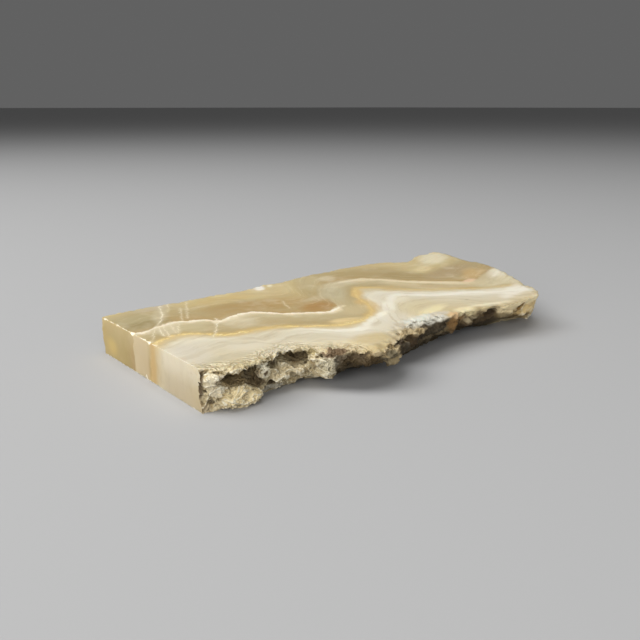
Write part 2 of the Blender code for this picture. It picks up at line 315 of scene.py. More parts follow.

# Stains, clean places and painted shade on the rind: middle, half sizes, colour, and how strong.
# The pit and the hollow by the knob, the ledge, the amber lens, the cleft and below it, the dark
# face, the brown right, the rim's shade and the feet of the cream lump and the nose are stain with
# painted shade in them; the tip's rim is cream with a painted highlight.
RIND_SPOTS = {
    "left_wall": ((1.9, -41.4, 5.2), (1.5, 1.6, 3.0), (228, 215, 184), 0.9),
    "wall_foot": ((0.7, -39.5, 0.6), (1.2, 1.3, 0.8), (226, 208, 172), 0.85),
    "fan": ((5.8, -42.6, 2.2), (5.2, 2.2, 2.4), (255, 234, 184), 0.9),
    "nodule": ((11.8, -41.4, 5.2), (1.9, 1.8, 1.9), (248, 236, 204), 0.9),
    "white_foot": ((14.3, -39.7, 0.8), (3.8, 1.8, 1.0), (206, 202, 188), 0.7),
    "rib": ((17.5, -40.6, 3.6), (4.0, 2.4, 2.0), (222, 204, 164), 0.8),
    "lens": ((16.6, -40.0, 5.6), (2.2, 1.6, 1.0), (198, 184, 150), 0.7),
    "curled_groove": ((0.1, -39.5, 4.6), (0.6, 1.4, 3.6), (92, 74, 48), 0.95),
    "nook": ((1.4, -39.9, 2.0), (0.8, 1.2, 0.6), (70, 54, 28), 0.85),
    "great_hollow": ((7.0, -39.8, 5.2), (5.2, 2.6, 1.7), (172, 150, 108), 0.95),
    "under_the_nodule": ((11.0, -39.8, 3.2), (2.6, 1.6, 1.0), (112, 94, 64), 0.9),
    "nodule_top": ((11.6, -41.0, 6.3), (1.3, 1.3, 0.8), (255, 248, 222), 0.95),
    "crater": ((12.0, -41.2, 5.0), (0.6, 1.0, 0.6), (98, 76, 44), 0.95),
    "pocket": ((14.6, -39.4, 2.4), (1.7, 1.4, 1.1), (100, 82, 52), 0.8),
    "second_hollow": ((20.8, -39.2, 6.0), (3.0, 2.6, 1.6), (128, 110, 76), 0.95),
    "knob": ((23.4, -45.4, 4.4), (3.2, 2.4, 2.8), (255, 244, 210), 0.85),
    "knob_fold": ((22.0, -44.6, 4.6), (1.0, 1.4, 0.7), (150, 132, 96), 0.8),
    "olive_lip": ((21.5, -42.6, 8.0), (2.4, 1.2, 1.3), (176, 158, 104), 0.7),
    "red_stain": ((25.0, -44.6, 7.8), (3.0, 2.4, 1.8), (122, 98, 70), 0.95),
    "pit_by_the_knob": ((24.9, -47.2, 6.4), (2.0, 1.6, 1.5), (50, 38, 20), 0.9),
    "ledge": ((27.8, -49.2, 6.2), (5.4, 2.6, 1.9), (66, 50, 26), 0.95),
    "ledge_notch": ((28.0, -48.6, 7.3), (1.2, 1.0, 0.7), (84, 66, 40), 0.85),
    "ledge_rib": ((29.2, -50.2, 7.1), (1.2, 0.8, 0.6), (150, 128, 88), 0.8),
    "amber_lens": ((28.4, -48.6, 4.2), (5.6, 4.6, 3.2), (72, 56, 26), 1.0),
    "small_knob": ((33.6, -51.4, 6.0), (1.9, 1.6, 2.4), (92, 84, 62), 0.85),
    "hollow_by_the_knob": ((38.8, -50.0, 6.4), (3.8, 2.4, 2.0), (40, 30, 12), 0.95),
    "cleft": ((37.2, -49.0, 7.5), (3.0, 1.0, 1.3), (58, 43, 20), 0.9),
    "below_the_cleft": ((39.0, -47.0, 4.0), (4.0, 3.4, 2.6), (76, 63, 38), 0.85),
    "brown_hollow": ((46.0, -45.2, 4.8), (3.6, 2.2, 2.2), (84, 62, 34), 0.9),
    "dark_face": ((53.0, -45.0, 5.6), (6.4, 2.4, 3.4), (42, 32, 14), 0.92),
    "frosty_scoop": ((51.5, -42.9, 8.3), (9.0, 2.4, 1.4), (206, 203, 188), 0.95),
    "brown_right": ((69.0, -42.8, 3.8), (7.5, 3.4, 3.4), (100, 80, 51), 0.85),
    "rim_shade": ((67.4, -45.2, 6.9), (1.6, 1.0, 0.8), (118, 98, 70), 0.85),
    "orange_lump": ((60.6, -44.2, 5.4), (2.8, 2.4, 3.2), (146, 108, 58), 0.9),
    "orange_lump_top": ((59.4, -44.8, 8.0), (2.2, 1.4, 1.2), (214, 180, 134), 0.9),
    "cream_bar": ((65.4, -44.5, 5.4), (2.2, 1.4, 0.7), (178, 162, 128), 0.95),
    "dark_pocket": ((71.8, -44.0, 5.4), (1.8, 1.8, 1.4), (70, 53, 30), 0.9),
    "cream_lump": ((75.0, -46.8, 6.6), (4.6, 2.0, 2.4), (246, 226, 180), 0.95),
    "lump_foot": ((74.4, -46.2, 4.6), (3.4, 1.9, 1.2), (116, 100, 68), 0.9),
    "nose": ((86.0, -45.0, 5.6), (7.5, 6.0, 6.0), (242, 212, 150), 0.95),
    "nose_foot": ((84.5, -45.5, 1.6), (7.0, 5.0, 2.2), (120, 98, 62), 0.85),
    "tip_rim": ((80.5, -48.0, 8.0), (7.0, 3.0, 1.4), (255, 236, 190), 0.95),
    "slot": ((80.2, -46.6, 5.6), (1.0, 1.8, 2.2), (146, 112, 56), 1.0),
    "cream_rim": ((67.5, -44.2, 8.0), (9.0, 1.8, 1.5), (240, 224, 176), 0.95),
}


def screen(colour):
    """A colour as a screen shows it, 0 to 255, as the light that it sends."""
    shares = [part / 255 for part in colour]
    light = [s / 12.92 if s <= 0.04045 else ((s + 0.055) / 1.055) ** 2.4 for s in shares]
    return (*light, 1.0)


def eased(values, start, end):
    """Rises softly from 0 at one value to 1 at another."""
    share = np.clip((values - start) / (end - start), 0.0, 1.0)
    return share * share * (3.0 - 2.0 * share)


# Stains and painted shade on the rind alike, with edges that wander.
STAIN_AND_SHADE_STRAY = 0.6  # a stain's edge wanders this far, in millimetres
strayed = np.array([plan(p) + noise.noise_vector(plan(p) / 2.2) * STAIN_AND_SHADE_STRAY for p in places])
stain_and_shade = np.zeros((len(places), 4))
for middle, half_sizes, tint, strength in RIND_SPOTS.values():
    off = np.linalg.norm((strayed - middle) / half_sizes, axis=1)
    cover = strength * eased(off, 1.15, 0.7)[:, None]
    stain_and_shade = cover * np.array(screen(tint)) + (1.0 - cover) * stain_and_shade
stain_and_shade[:, :3] /= np.maximum(stain_and_shade[:, 3:], 0.001)
for vert, tint in zip(stone.verts, stain_and_shade):
    vert[stain_and_shade_mark] = tint

# The blade bruised and chipped the two long edges of the sawn end, a thin white line.
EDGE_STEP = 0.22 * MM
CHAMFER = 0.12 * MM
CHIP = 1.1 * MM
SOUND_EDGE = CORNER_Y - 24.0 * MM  # in front of this the edge is sounder
SOUND_SHARE = 0.3
FINE_CHIP_SPACE, CHIP_SPACE = 0.5, 1.5
CHIP_RARITY = 0.22
# The larger chips: how far in front of the back corner, half their length and their depth.
TOP_CHIPS = ((-1.2, 0.7, 0.3), (-6.9, 1.0, 0.35), (-13.8, 1.2, 0.6), (-20.8, 0.8, 0.5))


def chip_depth(along, seed, chips):
    """How far the sawn edge is broken back at a place along it, with a few larger chips."""
    fine = abs(noise.noise(Vector((along / MM / FINE_CHIP_SPACE, seed, 0.0))))
    large = noise.noise(Vector((along / MM / CHIP_SPACE, seed + 7.0, 3.0)))
    depth = CHAMFER * (0.6 + fine) + CHIP * max(0.0, large - CHIP_RARITY)
    if along < SOUND_EDGE:
        depth *= SOUND_SHARE
    for middle, half, deepest in chips:
        near = max(0.0, 1.0 - abs((along - CORNER_Y) / MM - middle) / half)
        depth = max(depth, deepest * MM * near)
    return depth


def on_edge(point, z):
    """Whether a point lies on the sawn end's edge at a height."""
    return abs(point.z - z) < FLAT_SLACK and abs(point.x - END_X) < FLAT_SLACK


def chipped_edge(z, into_stone, steepness, seed, chips=()):
    """A broken chamfer along the sawn end's edge at a height, from its back to its front."""
    ends = sorted((v for v in stone.verts if on_edge(v.co, z)), key=lambda v: -v.co.y)
    back, front = ends[0], ends[-1]
    count = int((back.co.y - front.co.y) / EDGE_STEP)
    on_flat, on_end = [back], [back]
    for i in range(1, count):
        y = back.co.y + (front.co.y - back.co.y) * i / count
        taper = min(1.0, i / 4, (count - i) / 4)
        across = chip_depth(y, seed, chips) * taper
        down = chip_depth(y, seed + 20.0, chips) * taper * steepness
        on_flat.append(stone.verts.new((END_X + across, y, z)))
        on_end.append(stone.verts.new((END_X, y, z + into_stone * down)))
    on_flat.append(front)
    on_end.append(front)
    for i in range(count):
        ring = [on_flat[i], on_flat[i + 1], on_end[i + 1], on_end[i]]
        face = stone.faces.new(list(dict.fromkeys(ring)))
        face[bruise_mark] = 1.0


chipped_edge(SLICE_HIGH.z, into_stone=-1.0, steepness=1.0, seed=1.0, chips=TOP_CHIPS)
chipped_edge(SLICE_LOW.z, into_stone=1.0, steepness=2.2, seed=4.0)


def open_edges(axis, level):
    """The open edges that lie in a saw cut, which are the outline of its flat face."""
    return [
        e
        for e in stone.edges
        if e.is_boundary and all(abs(v.co[axis] - level) < FLAT_SLACK for v in e.verts)
    ]


def close_cut(axis, level, facing):
    """Fills the flat face of a saw cut within its outline."""
    normal = Vector((0.0, 0.0, 0.0))
    normal[axis] = facing
    bmesh.ops.triangle_fill(stone, use_beauty=True, edges=open_edges(axis, level), normal=normal)


# The top's natural edge is worn down into a rough brim, wide over the thick front rind and
# narrow elsewhere. Sizes are in millimetres.
BRIM_STEP = 0.42
BRIM_SHAKE = 0.2
BRIM_WIDTH = 2.8
BACK_BRIM_WIDTH = 1.0
BRIM_DEPTH = 2.5
BACK_WEAR = 0.16
WEAR_CURVE = 1.4  # above 1 the brim slopes most at its outer edge
WEAR_SPACE = 1.3
WEAR_FOLD_SPACES = (1.5, 1.5, 1.5)
FRONT_WEAR = (
    (0, 0.0), (1.5, 0.15), (3.5, 0.45), (18, 0.5), (23, 0.85), (33, 0.75), (42, 0.6), (50, 0.5),
    (58, 0.35), (75, 0.3), (88, 0.2), (110, 0.2),
)
natural_rim = [Vector(p) for p, cut in zip(places, cuts) if cut[TOP] and not cut[END]]
rim_tree = KDTree(len(natural_rim))
for i, point in enumerate(natural_rim):
    rim_tree.insert(point, i)
rim_tree.balance()


def front_share(place):
    """0 behind the front rind and 1 on it."""
    return float(eased(place.y, RIND_FRONT + 4.0, RIND_FRONT - 1.0))


def from_rim_edge(point):
    """How far inside the top's natural edge a point is, in millimetres."""
    return rim_tree.find((point[0], point[1], SLICE_HIGH.z))[2] / MM


def brim_share(point):
    """1 on the top's natural edge, and 0 where the sawn top is whole."""
    inward = from_rim_edge(point)
    front = front_share(plan(point))
    width = BACK_BRIM_WIDTH + (BRIM_WIDTH - BACK_BRIM_WIDTH) * front
    return max(0.0, 1.0 - inward / width)


def wear(place):
    """How far the natural edge is worn down at a place, in millimetres."""
    front = np.interp(place.x, *zip(*FRONT_WEAR))
    least = BACK_WEAR * min(1.0, max(0.0, place.x - 0.5) / 3.0)
    rough = 0.7 + 0.9 * noise.noise(place / WEAR_SPACE) + 0.6 * folds(place, WEAR_FOLD_SPACES)
    return (least + max(0.0, front - least) * front_share(place)) * max(0.0, rough)


def brim_dots():
    """Scattered points on the top, close together, where the brim will be worn."""
    dots = []
    for column in np.arange(SLICE_LOW.x / MM, SLICE_HIGH.x / MM, BRIM_STEP):
        for row in np.arange(SLICE_LOW.y / MM, SLICE_HIGH.y / MM, BRIM_STEP):
            shake = noise.noise_vector(Vector((column, row, 0.0)) / 0.3) * BRIM_SHAKE
            dot = Vector((column + shake.x, row + shake.y))
            inward = from_rim_edge(dot * MM)
            front = plan(dot * MM).y < RIND_FRONT + 4.0
            if 0.6 * BRIM_STEP < inward < BRIM_STEP + (BRIM_WIDTH if front else BACK_BRIM_WIDTH):
                dots.append(dot)
    return dots


INSIDE_ONLY = 1  # keeps the facets that lie within the outline
DOT_GAP = 0.00001


def close_worn_top():
    """Fills the top's outline with fine facets along the brim, and wears the brim down."""
    outline = open_edges(Z, SLICE_HIGH.z)
    ring = list(dict.fromkeys(v for e in outline for v in e.verts))
    number = {v: i for i, v in enumerate(ring)}
    sides = [tuple(number[v] for v in e.verts) for e in outline]
    dots = [v.co.xy / MM for v in ring] + brim_dots()
    dots, _, triangles, sources, _, _ = delaunay_2d_cdt(dots, sides, [], INSIDE_ONLY, DOT_GAP)
    points = {}
    for triangle in triangles:
        for i in triangle:
            old = [source for source in sources[i] if source < len(ring)]
            if i not in points and old:
                points[i] = ring[old[0]]
            elif i not in points:
                points[i] = stone.verts.new((*(dots[i] * MM), SLICE_HIGH.z))
        stone.faces.new([points[i] for i in triangle])
    top = set(points.values())
    for vert in stone.verts:
        down = (SLICE_HIGH.z - vert.co.z) / MM / BRIM_DEPTH
        if down < 1.0:
            share = brim_share(vert.co) if vert in top else 1.0
            vert[brim_mark] = share
            vert.co.z -= wear(plan(vert.co)) * MM * share ** WEAR_CURVE * (1.0 - down)


close_cut(Z, SLICE_LOW.z, facing=-1.0)
close_cut(X, END_X, facing=-1.0)
close_worn_top()
bmesh.ops.recalc_face_normals(stone, faces=stone.faces)
STEEP = 0.3  # a worn face that looks up less than this keeps its sharp edges
for face in stone.faces:
    on_brim_face = face[bruise_mark] < 0.5 and max(v[brim_mark] for v in face.verts) > 0.0
    face.smooth = face[rind_mark] > 0.5 or (on_brim_face and face.normal.z > STEEP)

piece_mesh = bpy.data.meshes.new("opal_slice_skin")
stone.to_mesh(piece_mesh)
slice_piece = bpy.data.objects.new("opal_slice_skin", piece_mesh)
bpy.context.scene.collection.objects.link(slice_piece)

# Its stone. Lines between the layers, seen from above: millimetres from the sawn end, and
# millimetres from the back corner.
WHITE_LINE = (
    (0, -14), (2.5, -14), (5, -12.9), (7.5, -12.4), (10, -12.2), (12.5, -13.3), (14.5, -14),
    (16, -15), (17.4, -17.2), (19, -16.9), (22, -16), (24.5, -16), (26.5, -16.5), (28, -18),
    (30, -20), (31.2, -22), (33, -22.8), (35, -24.2), (37, -25.2), (39, -26.3), (41, -26.3),
    (43, -25.3), (44.5, -22), (46, -19), (48, -16), (50, -13.5), (52, -11.5), (54, -9.5),
    (57, -8.2), (62, -8.3), (64, -8.7), (66, -9.8), (68, -12), (70, -15), (72, -18),
    (74, -20), (76, -22.2), (80, -26), (82, -27.8), (85, -28.8), (88, -28.3), (91, -27),
    (110, -20),
)
GOLD_LINE = (
    (0, -22.6), (2, -21.5), (4, -20.8), (6, -20.4), (8, -20.8), (10, -22), (11, -23.5),
    (13, -25.5), (15, -26.5), (18, -27), (21, -27.3), (25, -29), (28, -31), (31, -33),
    (34, -35), (37, -36), (40, -36), (43, -35), (46, -33), (48, -30.5), (49.5, -27.5),
    (50.5, -25), (52, -22), (54, -19.5), (56, -17), (58, -15.8), (60, -16.8), (62, -19),
    (64, -22), (66, -24.5), (70, -27.5), (74, -30), (78, -33), (82, -35), (86, -36.5),
    (90, -38), (110, -44),
)
WHITE_LAYER = (
    (0, -27), (1, -26.5), (5, -24), (8, -24.5), (12, -28), (17, -29.5), (25, -31.5),
    (30, -35), (33, -38.5), (38, -39), (42, -37), (47, -35.3), (50, -32), (51.5, -28),
    (53, -25), (56, -21), (60, -22), (64, -26), (68, -29), (74, -33), (80, -36.5),
    (86, -39), (90, -40.5), (110, -46),
)
WHITE_STREAK = (
    (0, -28), (28, -34), (30, -36), (33, -39), (37, -40), (40, -38), (46, -35.5),
    (50, -33), (54, -30), (57, -27.8), (60, -26.6), (63, -28.6), (66, -31), (70, -33.5),
    (76, -36), (80, -39), (84, -41), (90, -43), (110, -50),
)
FRONT_RIM = (
    (0, -38.9), (2.4, -40.6), (4.8, -41.8), (8.4, -42.6), (11.6, -41.8), (15.4, -40.8),
    (19.6, -40.8), (22, -43.0), (24, -45.6), (27.8, -47.6), (30, -50), (36, -50.5), (40, -47.5),
    (50, -45.5), (60, -45), (80, -48), (90, -45), (110, -40),
)
# How strongly each line shows along the slice, 0 to 1.
WHITE_LINE_SHOWS = (
    (0, 0.2), (2, 0.75), (6, 0.6), (10, 0.6), (14, 1), (17, 1), (18.5, 0.6), (20, 0.9), (25, 1),
    (41, 1), (42.4, 0.9), (43.3, 0.3), (44, 0), (54, 0), (58, 0.25), (63, 0.6), (68, 0.85),
    (75, 1), (79, 0.85), (82, 0.45), (86, 0.2), (92, 0.12), (110, 0.12),
)
GOLD_LINE_SHOWS = (
    (0, 0.2), (3, 0.9), (8, 1), (12, 1), (17, 0.95), (19, 0.3), (25, 0.3), (27, 0.9), (40, 0.85),
    (44, 0.45), (50, 0.4), (58, 0.3), (62, 0.08), (110, 0.04),
)
GOLD_GLOW_SHOWS = (
    (0, 0.4), (12, 0.5), (18, 0.7), (26, 0.7), (34, 0.55), (44, 0.7), (47, 0.95), (57, 0.9),
    (62, 0.35), (76, 0.2), (84, 0.05), (110, 0),
)
STREAK_SHOWS = (
    (0, 0), (27, 0), (31, 0.7), (40, 0.75), (46, 0.6), (50, 0.2), (54, 0.5), (60, 0.75),
    (70, 0.8), (90, 0.9), (110, 0.9),
)
# Colours as a screen shows them, 0 to 255, against millimetres away from a line.
BACK_LAYER = (
    (0.0, (178, 150, 100)), (1.5, (181, 154, 104)), (6.0, (180, 160, 114)),
    (11.0, (186, 167, 122)), (14.5, (200, 181, 131)), (19.0, (206, 186, 138)),
)
MID_LAYER = (
    (0.0, (206, 190, 150)), (0.2, (196, 180, 140)), (0.5, (187, 170, 128)),
    (0.85, (181, 160, 114)), (1.0, (198, 171, 114)),
)
GOLD_TO_WHITE = ((0.0, (212, 188, 132)), (0.35, (211, 192, 150)), (1.0, (222, 212, 186)))
FRONT_LAYER = (
    (0.0, (231, 223, 199)), (2.0, (226, 218, 196)), (6.0, (219, 209, 184)),
    (12.0, (212, 199, 166)), (19.0, (206, 188, 146)),
)
# Spots of another colour: middle, half sizes, turn in degrees, colour, and how strong.
SPOTS = {
    "chip_on_the_back_edge": ((39.2, -0.6), (1.3, 2.6), -38, (247, 243, 234), 1.0),
    "chip_beside_it": ((42.6, -0.2), (0.8, 1.5), -38, (238, 228, 196), 0.8),
    "back_edge_cream_a": ((20.0, 0.8), (2.4, 1.1), 0, (224, 207, 160), 0.6),
    "back_edge_cream_b": ((29.0, -0.5), (3.2, 1.2), 0, (222, 203, 152), 0.6),
    "red_brown_pocket": ((40.0, -22.0), (5.0, 4.0), 25, (172, 130, 72), 0.8),
    "brown_back_of_the_line": ((30.0, -13.0), (13.0, 5.0), -18, (172, 139, 82), 0.75),
    "olive_by_the_end": ((4.0, -7.5), (7.0, 6.5), 0, (178, 164, 124), 0.85),
    "amber_glow_a": ((27.0, -4.0), (9.0, 3.4), 0, (205, 178, 118), 0.55),
    "amber_glow_b": ((38.0, -13.0), (7.0, 6.0), 60, (186, 158, 106), 0.5),
    "grey_fold": ((50.5, -14.5), (9.5, 3.6), 52, (192, 180, 144), 0.9),
    "grey_fold_top": ((57.0, -9.8), (7.0, 3.0), 10, (206, 193, 158), 0.8),
    "pale_back_of_fold": ((52.0, -4.0), (9.0, 3.4), 55, (196, 180, 138), 0.7),
    "pinkish_bend": ((64.5, -11.0), (4.5, 1.8), -25, (212, 190, 152), 0.6),
    "right_amber": ((72.0, -6.0), (10.0, 8.0), -20, (177, 155, 108), 0.8),
    "right_amber_front": ((76.0, -14.5), (5.0, 7.0), 20, (168, 146, 98), 0.8),
    "back_right_glow": ((78.0, 1.0), (8.0, 2.5), 0, (199, 176, 130), 0.6),
    "cream_tongue": ((88.0, -9.0), (10.0, 3.0), 30, (204, 187, 140), 0.75),
    "cream_bump": ((98.5, -4.0), (9.5, 4.6), 35, (230, 219, 186), 0.95),
    "tan_field": ((89.0, -18.5), (13.0, 4.6), 12, (177, 155, 116), 0.9),
    "orange_field": ((91.5, -24.2), (7.5, 2.1), 22, (204, 172, 120), 0.85),
    "pink_bend": ((84.4, -28.2), (3.2, 1.3), 10, (236, 203, 168), 0.9),
    "white_patch": ((97.0, -27.6), (7.2, 2.6), 30, (248, 240, 218), 0.9),
    "orange_edge": ((92.0, -22.6), (7.0, 2.4), 36, (199, 169, 116), 0.9),
    "light_mid_right": ((79.0, -30.0), (17.0, 2.6), -26, (207, 191, 151), 0.75),
    "light_mid_tip": ((90.0, -33.0), (9.0, 3.6), 10, (212, 199, 162), 0.9),
    "gold_kink": ((49.6, -27.5), (2.6, 5.4), -24, (214, 184, 126), 0.75),
    "gold_shoulder": ((54.2, -19.4), (1.6, 3.6), -48, (217, 186, 120), 0.75),
    "tan_below_the_fold": ((64.0, -21.0), (3.0, 3.8), 25, (203, 178, 128), 0.7),
    "tan_mid_right": ((75.0, -28.0), (9.0, 1.9), -38, (199, 176, 134), 0.6),
    "mid_right_cream": ((76.5, -23.9), (6.5, 1.2), -38, (221, 205, 162), 0.6),
    "cream_bend": ((44.5, -29.5), (4.6, 3.4), 40, (202, 184, 141), 0.8),
    "whiter_blocks": ((20.5, -21.0), (4.4, 4.8), 0, (212, 198, 164), 0.75),
    "pale_block": ((10.5, -16.5), (6.0, 3.0), 0, (206, 191, 152), 0.6),
    "beige_block": ((26.0, -25.0), (4.0, 3.4), -35, (190, 170, 128), 0.6),
    "olive_block": ((11.0, -18.0), (3.4, 4.0), 0, (198, 184, 144), 0.6),
    "pearly_a": ((6.0, -28.5), (6.5, 3.6), -10, (216, 207, 184), 0.75),
    "pearly_b": ((58.0, -29.0), (5.0, 3.0), 40, (232, 225, 200), 0.6),
    "cream_middle": ((56.5, -36.0), (7.0, 5.0), 30, (215, 201, 162), 0.7),
    "yellow_front": ((57.5, -39.9), (5.6, 1.7), 12, (238, 224, 178), 0.9),
    "tan_front": ((34.0, -46.0), (6.0, 3.4), -5, (208, 188, 142), 0.9),
    "mid_right_pale": ((69.5, -19.5), (3.4, 6.0), 24, (208, 190, 148), 0.8),
    "mid_right_line": ((77.5, -24.6), (7.5, 1.5), -38, (224, 208, 170), 0.85),
    "cream_tip": ((97.0, -34.0), (9.0, 5.0), 35, (229, 217, 182), 0.95),
    "olive_by_the_line": ((4.8, -10.2), (6.0, 2.8), 0, (151, 134, 88), 0.75),
    "gold_belly": ((38.5, -35.2), (6.0, 1.8), 0, (226, 203, 146), 0.7),
    "nose_white": ((84.5, -41.6), (9.0, 2.4), 20, (243, 235, 216), 0.85),
    "nose_tan": ((80.0, -47.0), (10.0, 2.4), 16, (214, 198, 160), 0.7),
    "gold_patch": ((85.5, -11.8), (4.8, 2.2), 25, (224, 204, 156), 0.8),
    "red_brown_tip": ((43.4, -19.6), (2.6, 2.4), 40, (174, 142, 92), 0.65),
    "line_tip": ((43.3, -25.7), (2.2, 0.9), 10, (228, 212, 174), 0.85),
    "pearly_end": ((2.6, -31.5), (4.0, 7.0), 0, (214, 206, 188), 0.6),
    "grey_front": ((7.6, -37.0), (5.5, 1.5), -6, (196, 185, 156), 0.7),
    "pearly_c": ((17.5, -31.6), (9.5, 2.8), -12, (213, 202, 174), 0.75),
    "pearly_d": ((25.5, -37.6), (5.5, 1.8), -25, (210, 200, 172), 0.65),
    "fold_streak": ((58.4, -3.6), (3.4, 2.4), 40, (214, 199, 165), 0.75),
    "line_hook": ((16.7, -17.6), (1.0, 1.5), -35, (242, 228, 194), 0.85),
    "main_haze": ((10.4, -5.4), (7.4, 1.9), 60, (207, 195, 162), 0.5),
    "fan_haze": ((6.4, -16.0), (4.6, 2.6), 70, (214, 201, 168), 0.6),
    "lilac_edge": ((11.0, -0.6), (5.0, 1.7), 0, (198, 184, 158), 0.7),
    "gold_block": ((37.4, -33.4), (3.4, 1.5), -10, (233, 207, 152), 0.8),
    "white_bar_a": ((52.6, -31.6), (4.2, 1.6), 65, (242, 236, 214), 0.75),
    "white_bar_b": ((47.0, -35.2), (2.6, 1.1), 20, (250, 244, 220), 0.85),
    "white_right": ((74.5, -36.2), (8.5, 1.9), -38, (236, 230, 210), 0.75),
    "grey_grain": ((69.5, -39.6), (0.5, 0.4), 0, (150, 140, 112), 0.5),
}
# The same again, on the worn brim.
BRIM_SPOTS = {
    "grey_lip": ((7.0, -38.2), (6.0, 1.2), -8, (196, 184, 152), 0.6),
    "pale_lip": ((16.4, -39.6), (4.2, 1.5), 0, (226, 212, 184), 0.7),
    "rim_stain": ((24.7, -45.5), (1.4, 2.0), 10, (150, 120, 84), 0.8),
    "frosty_front": ((50.6, -42.4), (6.4, 1.7), 0, (221, 220, 205), 0.95),
    "frosty_right": ((56.6, -42.6), (3.2, 1.3), 0, (204, 195, 176), 0.85),
    "scoop_left": ((44.4, -43.4), (2.4, 2.0), 0, (208, 196, 172), 0.85),
    "orange_top": ((59.3, -44.8), (1.8, 1.5), 0, (214, 180, 136), 0.85),
    "rim_cream_a": ((63.4, -43.8), (3.2, 1.9), 0, (236, 221, 178), 0.95),
    "rim_cream_b": ((71.0, -44.0), (6.5, 1.9), -18, (240, 228, 196), 0.85),
    "rim_yellow": ((31.4, -49.9), (4.6, 2.0), 0, (196, 176, 130), 0.9),
}
# Healed cracks through the stone: how faint each is, and its run of plan points.
CRACKS = {
    "main": (0.0, ((13.2, 0.4), (12.6, -1.0), (10.4, -6.2), (7.7, -10.4), (5.4, -12.9))),
    "fan_a": (0.03, ((5.7, -13.1), (4.0, -19.2))),
    "fan_b": (0.06, ((6.9, -13.3), (4.6, -20.5))),
    "fan_c": (0.09, ((9.1, -11.6), (6.7, -19.0))),
    "fan_d": (0.08, ((10.6, -12.8), (6.7, -19.8))),
    "left": (0.08, ((4.6, -14.0), (0.3, -21.5))),
    "right_long": (0.09, ((19.4, -0.3), (13.5, -11.6))),
    "right_short": (0.1, ((16.0, -3.8), (11.9, -12.1))),
    "back": (0.07, ((15.4, 0.9), (12.5, -4.9))),
    "block_step": (0.05, ((17.9, -15.5), (16.7, -17.9), (13.6, -22.5), (10.9, -25.8))),
    "far": (0.1, ((36.6, -13.6), (34.2, -19.4))),
}
LENGTH_SPAN = 110.0  # the lines are given this far from the sawn end
LINE_BACK = 5.0  # the lines lie between these two, in millimetres from the back corner
LINE_FRONT = -55.0
LAYER_SPAN = 19.0  # the back and front layers' colours are given this far from their lines
SPOT_REACH = 1.25  # a spot fades out this many half sizes from its middle
BAND_LEAN = 0.25  # the gold line and the white layer lean this far per millimetre of depth

opal = bpy.data.materials.new("banded_opal")
opal.use_nodes = True
nodes = opal.node_tree.nodes
links = opal.node_tree.links
nodes.clear()


def put(socket, value):
    """Gives a socket a value, or joins another node's output to it."""
    if isinstance(value, bpy.types.NodeSocket):
        links.new(value, socket)
    else:
        socket.default_value = value


def add(kind, settings=None, **inputs):
    """Adds a shader node with its settings and its inputs by name."""
    node = nodes.new(kind)
    for name, value in (settings or {}).items():
        setattr(node, name, value)
    for name, value in inputs.items():
        put(node.inputs[name.replace("_", " ")], value)
    return node


def calc(operation, *values):
    """A sum on numbers."""
    node = add("ShaderNodeMath", {"operation": operation})
    for socket, value in zip(node.inputs, values):
        put(socket, value)
    return node.outputs[0]


def calc3(operation, *values):
    """A sum on places and directions. A SCALE takes the place and then the scale."""
    node = add("ShaderNodeVectorMath", {"operation": operation})
    sockets = [node.inputs[0], node.inputs["Scale"]] if operation == "SCALE" else node.inputs
    for socket, value in zip(sockets, values):
        put(socket, value)
    return node.outputs["Value" if operation in ("LENGTH", "DOT_PRODUCT") else "Vector"]


def times(*shares):
    """The shares multiplied with one another."""
    product = shares[0]
    for share in shares[1:]:
        product = calc("MULTIPLY", product, share)
    return product


def ease(value, start, end, top=1.0):
    """Rises softly from 0 at one value to the top at another."""
    node = add("ShaderNodeMapRange", {"interpolation_type": "SMOOTHSTEP"}, Value=value)
    node.inputs["From Min"].default_value = start
    node.inputs["From Max"].default_value = end
    node.inputs["To Max"].default_value = top
    return node.outputs[0]


def blend(share, below, above, mode="MIX"):
    """One colour over another, by a share."""
    node = add("ShaderNodeMix", {"data_type": "RGBA", "blend_type": mode})
    colour_sockets = [socket for socket in node.inputs if socket.type == "RGBA"]
    put(node.inputs[0], share)
    for socket, value in zip(colour_sockets, (below, above)):
        put(socket, value if isinstance(value, bpy.types.NodeSocket) else screen(value))
    return next(socket for socket in node.outputs if socket.type == "RGBA")


def clouds(at, scale, detail=2.0, roughness=0.5):
    """A soft random share, 0 to 1 round 0.5, with so many clouds to a millimetre."""
    node = add("ShaderNodeTexNoise", Vector=at, Scale=scale, Detail=detail)
    node.inputs["Roughness"].default_value = roughness
    return node.outputs[0]


def signed(share, size):
    """A cloud's share as plus or minus a size."""
    return calc("MULTIPLY", calc("SUBTRACT", share, 0.5), 2.0 * size)


def along(points, low=0.0, high=1.0):
    """A value that follows a list of points along the slice."""
    node = add("ShaderNodeFloatCurve", Value=length_share)
    curve = node.mapping.curves[0]
    shares = [(reach / LENGTH_SPAN, (value - low) / (high - low)) for reach, value in points]
    curve.points[0].location = shares[0]
    curve.points[1].location = shares[-1]
    for share in shares[1:-1]:
        curve.points.new(*share)
    node.mapping.update()
    return calc("MULTIPLY_ADD", node.outputs[0], high - low, low)


def layer(distance, stops, span=1.0):
    """A layer's colour against the distance from the line that it starts at."""
    node = add("ShaderNodeValToRGB", Fac=calc("DIVIDE", distance, span))
    ramp = node.color_ramp
    for _ in stops[2:]:
        ramp.elements.new(0.5)
    for element, (reach, tint) in zip(ramp.elements, stops):
        element.position = reach / span
        element.color = screen(tint)
    return node.outputs[0]


